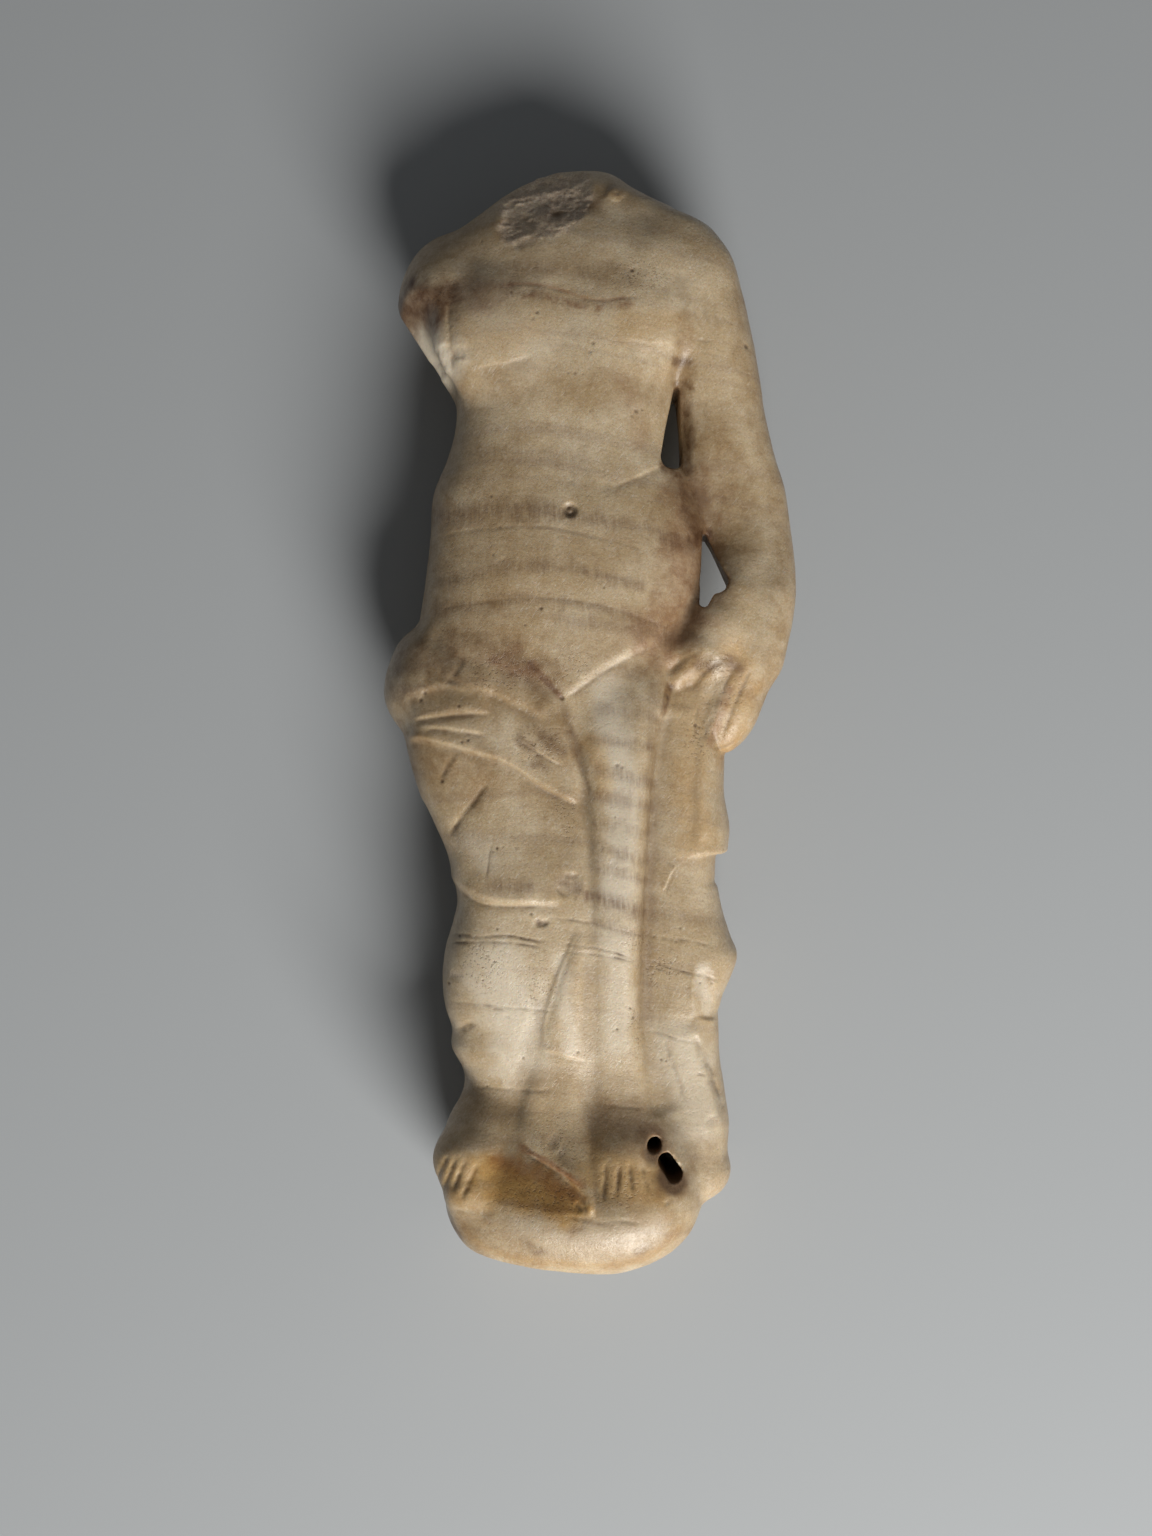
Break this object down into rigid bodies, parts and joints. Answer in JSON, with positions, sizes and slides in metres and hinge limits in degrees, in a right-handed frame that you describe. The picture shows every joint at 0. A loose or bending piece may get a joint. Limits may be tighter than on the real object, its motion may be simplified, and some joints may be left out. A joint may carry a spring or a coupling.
{
  "type": "stone statuette",
  "caption": "Headless half-draped figure carved from banded stone, with a broken shoulder and a small worn plinth, an ornament that lies on its back.",
  "frame": {"origin": "middle of the bounding box across and along, at the level of the flat on which the back rests", "axes": "+Y from the plinth to the broken neck, +Z out of the figure's front, +X to the viewer's right"},
  "size_m": [0.0852, 0.2226, 0.0391],
  "materials": {
    "banded_alabaster": "worn polish with dirt in the cuts"
  },
  "bodies": {
    "root": {"venus_statuette": "banded_alabaster"}
  },
  "joints": []
}
